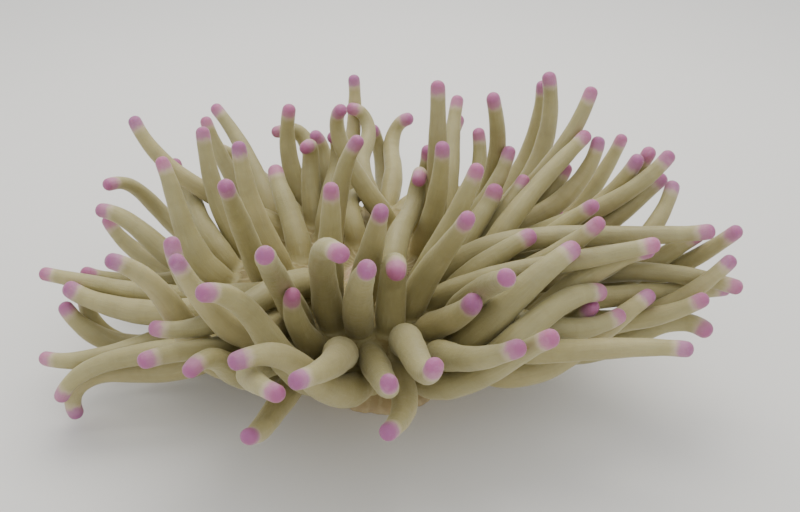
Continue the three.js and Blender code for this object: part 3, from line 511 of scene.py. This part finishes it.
# join: one closed surface
union = skin.modifiers.new("union", "BOOLEAN")
union.operation = "UNION"
union.operand_type = "COLLECTION"
union.collection = parts
union.solver = "MANIFOLD"
bpy.context.view_layer.objects.active = skin
evaluated = skin.evaluated_get(bpy.context.evaluated_depsgraph_get())
joined = bpy.data.meshes.new_from_object(evaluated)
skin.modifiers.clear()
old = skin.data
skin.data = joined
bpy.data.meshes.remove(old)
for ob in list(parts.objects):
    me = ob.data
    bpy.data.objects.remove(ob)
    bpy.data.meshes.remove(me)
bpy.data.collections.remove(parts)


# ---- The roots flow into the disc and into each other ----
def segments():
    """Coarse centrelines of all tentacles as (start, end, radius at both, tentacle, millimetres along)."""
    rows = []
    for t in tentacles:
        n = max(12, int(t.length / 3.2))
        mm = np.linspace(0, t.length, n + 1)
        p, r = t.place(mm), t.radius(mm)
        for k in range(n):
            rows.append((*p[k], *p[k + 1], r[k], r[k + 1], t.index, mm[k], mm[k + 1]))
    return np.array(rows)


SEG = segments()


def nearest(points, rows, two=True, reach=14.0):
    """For each point: signed distance to the nearest tentacle, its index and place along; and the distance to the second nearest."""
    n = len(points)
    best = np.full(n, 99.0)
    second = np.full(n, 99.0)
    who = np.full(n, -1)
    where = np.zeros(n)
    for i in np.unique(rows[:, 8]).astype(int):
        mine = rows[rows[:, 8] == i]
        ends = np.vstack([mine[:, :3], mine[:, 3:6]])
        lo, hi = ends.min(0) - reach, ends.max(0) + reach
        near = np.where(((points > lo) & (points < hi)).all(1))[0]
        if not len(near):
            continue
        p = points[near]
        a, b = mine[:, :3], mine[:, 3:6]
        ab = b - a
        lam = np.einsum("psk,sk->ps", p[:, None] - a[None], ab) / (ab**2).sum(1)
        lam = np.clip(lam, 0, 1)
        q = a[None] + lam[..., None] * ab[None]
        d = np.linalg.norm(p[:, None] - q, axis=2) - (mine[:, 6] * (1 - lam) + mine[:, 7] * lam)
        k = d.argmin(1)
        row = np.arange(len(near))
        dist = d[row, k]
        mm = mine[k, 9] * (1 - lam[row, k]) + mine[k, 10] * lam[row, k]
        closer = dist < best[near]
        second[near] = np.where(closer, best[near], np.minimum(second[near], dist))
        who[near] = np.where(closer, i, who[near])
        where[near] = np.where(closer, mm, where[near])
        best[near] = np.where(closer, dist, best[near])
    return best, second, who, where


def above_disc(p):
    """Signed distance to the disc and margin, positive outside."""
    r = np.hypot(p[:, 0], p[:, 1])
    sunk = DISC_LEVEL - dish(r)
    return np.hypot(np.maximum(r - DISC_FLAT, 0), p[:, 2] + sunk - (DISC_LEVEL - RIM_ROUND)) - RIM_ROUND


def smooth_min(a, b, k):
    k = np.maximum(k, 1e-4)
    return np.minimum(a, b) - np.maximum(k - np.abs(a - b), 0) ** 2 / (4 * k)


ROOT_SEG = SEG[SEG[:, 9] < 24]


def blended(p):
    first, second, _, _ = nearest(p, ROOT_SEG)
    body = above_disc(p)
    fade = np.clip(1 - body / FILLET_HEIGHT, 0, 1)
    tubes = smooth_min(first, second, ROOT_WEB * fade)
    return smooth_min(tubes, body, ROOT_FILLET * fade)


def co_of(me):
    co = np.empty(len(me.vertices) * 3)
    me.vertices.foreach_get("co", co)
    return co.reshape(-1, 3) * 1000


def put_co(me, co):
    me.vertices.foreach_set("co", (co * 0.001).ravel())
    me.update()


def edges_of(me):
    e = np.empty(len(me.edges) * 2, int)
    me.edges.foreach_get("vertices", e)
    return e.reshape(-1, 2)


me = skin.data
co = co_of(me)
radius_out = np.hypot(co[:, 0], co[:, 1])
first, second, who, where = nearest(co, SEG)
body_gap = above_disc(co)
on_tube = first < 0.6
root_zone = (body_gap < FILLET_HEIGHT) & (first < ROOT_FILLET + 1) & (co[:, 2] > 30.5) & ((where < 22) | ~on_tube)
root_zone &= (radius_out > 20)
zone = np.where(root_zone)[0]
p = co[zone]
for turn in range(3):
    f = blended(p)
    e = 0.08
    g = np.stack([blended(p + e * np.eye(3)[k]) - f for k in range(3)], 1) / e
    size = np.maximum((g**2).sum(1), 0.2)
    move = -(f / size)[:, None] * g
    length = np.linalg.norm(move, axis=1)
    move *= np.minimum(1, 2.0 / np.maximum(length, 1e-6))[:, None]
    p = p + move
fillet = np.zeros(len(co))
fillet[zone] = np.clip(np.linalg.norm(p - co[zone], axis=1) / 0.8, 0, 1)
co[zone] = p

# a light smoothing where pieces met
edges = edges_of(me)
count = np.bincount(edges.ravel(), minlength=len(co)).astype(float)
spreadout = fillet.copy()
for _ in range(2):
    s = np.zeros(len(co))
    np.maximum.at(s, edges[:, 0], spreadout[edges[:, 1]])
    np.maximum.at(s, edges[:, 1], spreadout[edges[:, 0]])
    spreadout = np.maximum(spreadout, s * 0.8)
weight = np.clip(spreadout * 1.4, 0, 1)[:, None] * 0.5
for _ in range(6):
    total = np.zeros_like(co)
    for k in range(3):
        total[:, k] = np.bincount(edges[:, 0], co[edges[:, 1], k], len(co)) + np.bincount(edges[:, 1], co[edges[:, 0], k], len(co))
    co = co * (1 - weight) + total / count[:, None] * weight
put_co(me, co)

# ---- What the skin's colours read: stored on its points ----
first, second, who, where = nearest(co, SEG)
body_gap = above_disc(co)
flesh = (who >= 0) & ((first < 1.2) | (body_gap > 3))
own = np.where(who >= 0, who, 0)
to_tip = np.full(len(co), 90.0)  # millimetres from the end of the tip, along the tentacle
along = np.zeros(len(co))
lie = np.zeros((len(co), 3))  # place on the tentacle, unrolled straight
tone = np.zeros((len(co), 3))
for t in tentacles:
    mine = np.where((own == t.index) & flesh)[0]
    if not len(mine):
        continue
    mm = where[mine]
    p = co[mine]
    past = np.maximum(0, (p - t.nodes[-1]) @ t.dirs[-1])
    to_tip[mine] = t.length + t.tip - mm - np.where(mm > t.length - 0.6, past, 0)
    along[mine] = mm
    rel = p - t.place(mm)
    x = (rel * t.spread(t.across, mm)).sum(1)
    y = (rel * t.spread(t.over, mm)).sum(1)
    lie[mine] = np.stack([x, y, mm], 1) + np.array([t.tone[0], t.tone[1], 0]) * 400
    tone[mine] = t.tone
on_body = smoothstep(6.0, 0.0, body_gap) * smoothstep(0.2, 2.2, first)
on_body[~flesh] = 1.0


def store(name, kind, values):
    layer = me.attributes.new(name, kind, "POINT")
    layer.data.foreach_set("vector" if kind == "FLOAT_VECTOR" else "value", np.ascontiguousarray(values, dtype=np.float32).ravel())


store("to_tip", "FLOAT", to_tip)
store("along", "FLOAT", along)
store("lie", "FLOAT_VECTOR", lie * 0.001)
store("tone", "FLOAT_VECTOR", tone)
store("on_body", "FLOAT", on_body)

# ---- Materials ----
def linear(r, g, b):
    return tuple((c / 255 / 12.92) if c <= 10.3 else (((c / 255) + 0.055) / 1.055) ** 2.4 for c in (r, g, b)) + (1.0,)


class Nodes:
    """Short calls for a node tree."""

    def __init__(self, name):
        self.mat = bpy.data.materials.new(name)
        self.mat.use_nodes = True
        self.tree = self.mat.node_tree
        self.tree.nodes.clear()
        self.out = self.add("ShaderNodeOutputMaterial")
        self.bsdf = self.add("ShaderNodeBsdfPrincipled")
        self.link(self.bsdf.outputs["BSDF"], self.out.inputs["Surface"])

    def add(self, kind, **values):
        node = self.tree.nodes.new(kind)
        for key, value in values.items():
            setattr(node, key, value)
        return node

    def link(self, a, b):
        self.tree.links.new(a, b)

    def feed(self, socket, value):
        if isinstance(value, bpy.types.NodeSocket):
            self.link(value, socket)
        else:
            socket.default_value = value

    def math(self, op, a, b=0.0, c=0.0, clamp=False):
        n = self.add("ShaderNodeMath", operation=op, use_clamp=clamp)
        for socket, value in zip(n.inputs, (a, b, c)):
            self.feed(socket, value)
        return n.outputs[0]

    def ramp01(self, value, a, b):
        """0 at a and 1 at b, smooth between."""
        n = self.add("ShaderNodeMapRange", interpolation_type="SMOOTHSTEP", clamp=True)
        for socket, v in zip(n.inputs, (value, a, b, 0.0, 1.0)):
            self.feed(socket, v)
        return n.outputs[0]

    def spread(self, value, a, b, c, d):
        n = self.add("ShaderNodeMapRange", interpolation_type="LINEAR", clamp=True)
        for socket, v in zip(n.inputs, (value, a, b, c, d)):
            self.feed(socket, v)
        return n.outputs[0]

    def number(self, name):
        return self.add("ShaderNodeAttribute", attribute_name=name).outputs["Fac"]

    def vector(self, name):
        return self.add("ShaderNodeAttribute", attribute_name=name).outputs["Vector"]

    def split(self, v):
        n = self.add("ShaderNodeSeparateXYZ")
        self.link(v, n.inputs[0])
        return n.outputs

    def scaled(self, v, x, y, z):
        n = self.add("ShaderNodeVectorMath", operation="MULTIPLY")
        self.link(v, n.inputs[0])
        n.inputs[1].default_value = (x, y, z)
        return n.outputs[0]

    def noise(self, v, scale, detail=2.0, rough=0.5):
        n = self.add("ShaderNodeTexNoise")
        self.link(v, n.inputs["Vector"])
        n.inputs["Scale"].default_value = scale
        n.inputs["Detail"].default_value = detail
        n.inputs["Roughness"].default_value = rough
        return n.outputs["Fac"]

    def mix(self, share, a, b, how="MIX"):
        n = self.add("ShaderNodeMix", data_type="RGBA", blend_type=how, clamp_factor=True)
        self.feed(n.inputs["Factor"], share)
        self.feed(n.inputs[6], a)
        self.feed(n.inputs[7], b)
        return n.outputs[2]

    def lit(self, colour, value):
        """The colour times a number."""
        n = self.add("ShaderNodeVectorMath", operation="SCALE")
        self.feed(n.inputs[0], colour)
        self.feed(n.inputs["Scale"], value)
        return n.outputs[0]


def skin_material():
    m = Nodes("anemone_skin")
    place = m.add("ShaderNodeTexCoord").outputs["Object"]
    lie, tone = m.vector("lie"), m.split(m.vector("tone"))
    to_tip, along, on_body = m.number("to_tip"), m.number("along"), m.number("on_body")
    x, y, z = m.split(place)
    cloud = m.noise(place, 55, 3, 0.55)  # patches about 18 mm
    mottle = m.noise(place, 260, 3, 0.6)
    streak = m.noise(m.scaled(lie, 1, 1, 0.10), 900, 2, 0.6)  # fine lines along a tentacle
    band = m.noise(m.scaled(lie, 0.35, 0.35, 1), 300, 2, 0.5)  # faint rings across it

    # flesh of the tentacles: khaki, with painted shade making it deeper and browner towards the root where the
    # tentacles crowd, and paler under the tip, partly the flesh's own paler colour and partly painted highlight
    khaki = m.mix(tone[0], linear(168, 158, 112), linear(158, 149, 107))
    khaki = m.mix(m.ramp01(tone[1], 0.55, 1.0), khaki, linear(174, 162, 116))
    # painted shade: darker, browner olive over the last 34 mm to the root, standing in for the shade deep among the
    # crowded roots
    khaki = m.mix(m.spread(m.ramp01(along, 34, 2), 0, 1, 0, 0.40), khaki, linear(148, 133, 78))
    # paler towards the tip: partly the flesh's own colour, partly painted highlight where the tips stand out in the
    # light
    khaki = m.mix(m.spread(m.ramp01(to_tip, 30, 10), 0, 1, 0, 0.32), khaki, linear(184, 175, 128))
    khaki = m.mix(m.spread(m.ramp01(cloud, 0.38, 0.66), 0, 1, 0, 0.26), khaki, linear(146, 136, 86))
    khaki = m.mix(m.spread(m.ramp01(streak, 0.54, 0.78), 0, 1, 0, 0.16), khaki, linear(204, 195, 150))
    khaki = m.mix(m.spread(m.ramp01(streak, 0.44, 0.24), 0, 1, 0, 0.14), khaki, linear(124, 112, 66))
    khaki = m.mix(m.spread(m.ramp01(band, 0.5, 0.75), 0, 1, 0, 0.12), khaki, linear(132, 120, 74))

    # disc: olive with pale lines that run out from the mouth, and cream lips
    turn = m.math("ARCTAN2", y, x)
    out = m.math("SQRT", m.math("ADD", m.math("MULTIPLY", x, x), m.math("MULTIPLY", y, y)))
    wander = m.math("MULTIPLY", m.math("SUBTRACT", mottle, 0.5), 0.10)
    lines = m.math("COSINE", m.math("MULTIPLY", m.math("ADD", turn, wander), 48.0))
    disc = m.mix(m.ramp01(cloud, 0.35, 0.7), linear(150, 134, 84), linear(124, 108, 62))
    disc = m.mix(m.spread(m.ramp01(lines, 0.55, 0.98), 0, 1, 0, 0.5), disc, linear(190, 176, 128))
    disc = m.mix(m.spread(m.ramp01(mottle, 0.55, 0.75), 0, 1, 0, 0.25), disc, linear(98, 84, 46))
    lip = m.mix(m.ramp01(mottle, 0.4, 0.66), linear(208, 182, 150), linear(196, 158, 134))
    lip = m.mix(m.ramp01(out, 0.0018, 0.0), lip, linear(128, 92, 70))
    disc = m.mix(m.ramp01(out, 0.0152, 0.0108), disc, lip)

    # column and foot: salmon-tan, faint lines from top to bottom, paler and blotched at the foot's edge
    pleat = m.math("COSINE", m.math("MULTIPLY", m.math("ADD", turn, m.math("MULTIPLY", wander, 1.6)), 46.0))
    column = m.mix(m.ramp01(cloud, 0.36, 0.66), linear(176, 158, 116), linear(160, 141, 98))
    column = m.mix(m.spread(m.ramp01(pleat, 0.3, 0.95), 0, 1, 0, 0.36), column, linear(200, 186, 146))
    column = m.mix(m.spread(m.ramp01(mottle, 0.54, 0.72), 0, 1, 0, 0.32), column, linear(146, 120, 82))
    column = m.mix(m.spread(m.ramp01(z, 0.007, 0.0), 0, 1, 0, 0.45), column, linear(188, 162, 122))
    column = m.mix(m.ramp01(z, 0.018, 0.0335), column, linear(156, 142, 92))
    body = m.mix(m.ramp01(z, 0.0335, 0.0385), column, disc)
    flesh = m.mix(on_body, khaki, body)

    # the tips: magenta caps about as long as the tip is thick
    edge = m.math("ADD", to_tip, m.math("MULTIPLY", m.math("SUBTRACT", m.noise(lie, 420, 2, 0.5), 0.5), 2.6))
    reach = m.math("SUBTRACT", edge, m.math("MULTIPLY", tone[2], 0.9))
    pink = m.mix(tone[1], linear(188, 126, 150), linear(174, 120, 150))
    pink = m.mix(m.ramp01(to_tip, 4.2, 0.6), pink, m.mix(tone[1], linear(174, 98, 136), linear(160, 94, 138)))
    pink = m.mix(m.spread(m.ramp01(mottle, 0.5, 0.75), 0, 1, 0, 0.22), pink, linear(214, 168, 188))
    halo = m.mix(0.5, linear(210, 182, 176), linear(206, 196, 162))
    flesh = m.mix(m.spread(m.ramp01(reach, 8.4, 5.4), 0, 1, 0, 0.5), flesh, halo)
    flesh = m.mix(m.ramp01(reach, 6.6, 3.7), flesh, pink)

    shade = m.spread(m.noise(place, 95, 2, 0.5), 0.3, 0.7, 0.94, 1.06)
    m.link(m.lit(flesh, shade), m.bsdf.inputs["Base Color"])
    rough = m.math("ADD", m.spread(m.noise(place, 700, 2, 0.6), 0.3, 0.7, 0.44, 0.58), m.math("MULTIPLY", on_body, 0.06))
    m.link(rough, m.bsdf.inputs["Roughness"])
    m.bsdf.inputs["Subsurface Weight"].default_value = 0.30
    m.bsdf.inputs["Subsurface Radius"].default_value = (1.0, 0.78, 0.34)
    m.bsdf.inputs["Subsurface Scale"].default_value = 0.0036
    m.bsdf.inputs["Specular IOR Level"].default_value = 0.36
    m.bsdf.inputs["Sheen Weight"].default_value = 0.22
    m.bsdf.inputs["Sheen Roughness"].default_value = 0.42
    m.bsdf.inputs["Sheen Tint"].default_value = linear(244, 240, 206)

    # bump: pores, lines along the tentacle, rings where it is drawn in, and the disc's furrows
    pores = m.noise(place, 1500, 3, 0.62)
    bump1 = m.add("ShaderNodeBump")
    bump1.inputs["Strength"].default_value = 0.35
    bump1.inputs["Distance"].default_value = 0.0005
    m.link(pores, bump1.inputs["Height"])
    bump2 = m.add("ShaderNodeBump")
    bump2.inputs["Strength"].default_value = 0.5
    bump2.inputs["Distance"].default_value = 0.0009
    height = m.math("ADD", m.math("MULTIPLY", streak, 0.35), m.math("MULTIPLY", band, 0.5))
    height = m.math("ADD", height, m.math("MULTIPLY", m.math("MULTIPLY", lines, 0.12), on_body))
    m.link(height, bump2.inputs["Height"])
    m.link(bump1.outputs["Normal"], bump2.inputs["Normal"])
    m.link(bump2.outputs["Normal"], m.bsdf.inputs["Normal"])
    return m.mat


skin.data.materials.clear()
skin.data.materials.append(skin_material())
skin.data.polygons.foreach_set("use_smooth", [True] * len(skin.data.polygons))
skin.data.update()
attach(skin, "root")
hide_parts(*[name for name in frame["nodes"]])


# ---- Floor, light and camera ----
def floor_material():
    m = Nodes("studio_floor")
    place = m.add("ShaderNodeTexCoord").outputs["Object"]
    tint = m.mix(m.noise(place, 3.0, 2, 0.5), linear(226, 223, 217), linear(232, 229, 224))
    m.link(tint, m.bsdf.inputs["Base Color"])
    m.bsdf.inputs["Roughness"].default_value = 0.8
    m.bsdf.inputs["Specular IOR Level"].default_value = 0.2
    return m.mat


floor_mesh = bpy.data.meshes.new("studio_floor")
H = 6.0
floor_mesh.from_pydata([(-H, -H, 0), (H, -H, 0), (H, H, 0), (-H, H, 0)], [], [(0, 1, 2, 3)])
floor = bpy.data.objects.new("studio_floor", floor_mesh)
bpy.context.scene.collection.objects.link(floor)
floor_mesh.materials.append(floor_material())

world = bpy.data.worlds.new("studio")
bpy.context.scene.world = world
world.use_nodes = True
background = world.node_tree.nodes.get("Background") or world.node_tree.nodes.new("ShaderNodeBackground")
background.inputs["Color"].default_value = (0.93, 0.96, 1.0, 1.0)
background.inputs["Strength"].default_value = 1.02


def area_light(name, at, aim, width, power, colour):
    data = bpy.data.lights.new(name, "AREA")
    data.shape = "DISK"
    data.size = width
    data.energy = power
    data.color = colour
    ob = bpy.data.objects.new(name, data)
    bpy.context.scene.collection.objects.link(ob)
    ob.location = at
    ob.rotation_mode = "QUATERNION"
    ob.rotation_quaternion = (Vector(aim) - Vector(at)).to_track_quat("-Z", "Y")
    return ob


area_light("key", (0.02, 0.30, 0.62), (0, 0.04, 0.05), 0.60, 3.6, (1.0, 0.98, 0.92))
area_light("fill", (0.5, -2.3, 2.3), (0, 0, 0.05), 2.4, 15.0, (0.96, 0.98, 1.0))

camera_data = bpy.data.cameras.new("camera")
camera = bpy.data.objects.new("camera", camera_data)
bpy.context.scene.collection.objects.link(camera)
camera_data.sensor_fit = "HORIZONTAL"
camera_data.sensor_width = 36.0
camera_data.lens = 985.0 / 800.0 * 36.0
camera_data.clip_start, camera_data.clip_end = 0.01, 30.0
camera.location = (0.010914, -0.36543, 0.27271)
camera.rotation_euler = (math.radians(59.0), 0, 0)
bpy.context.scene.camera = camera
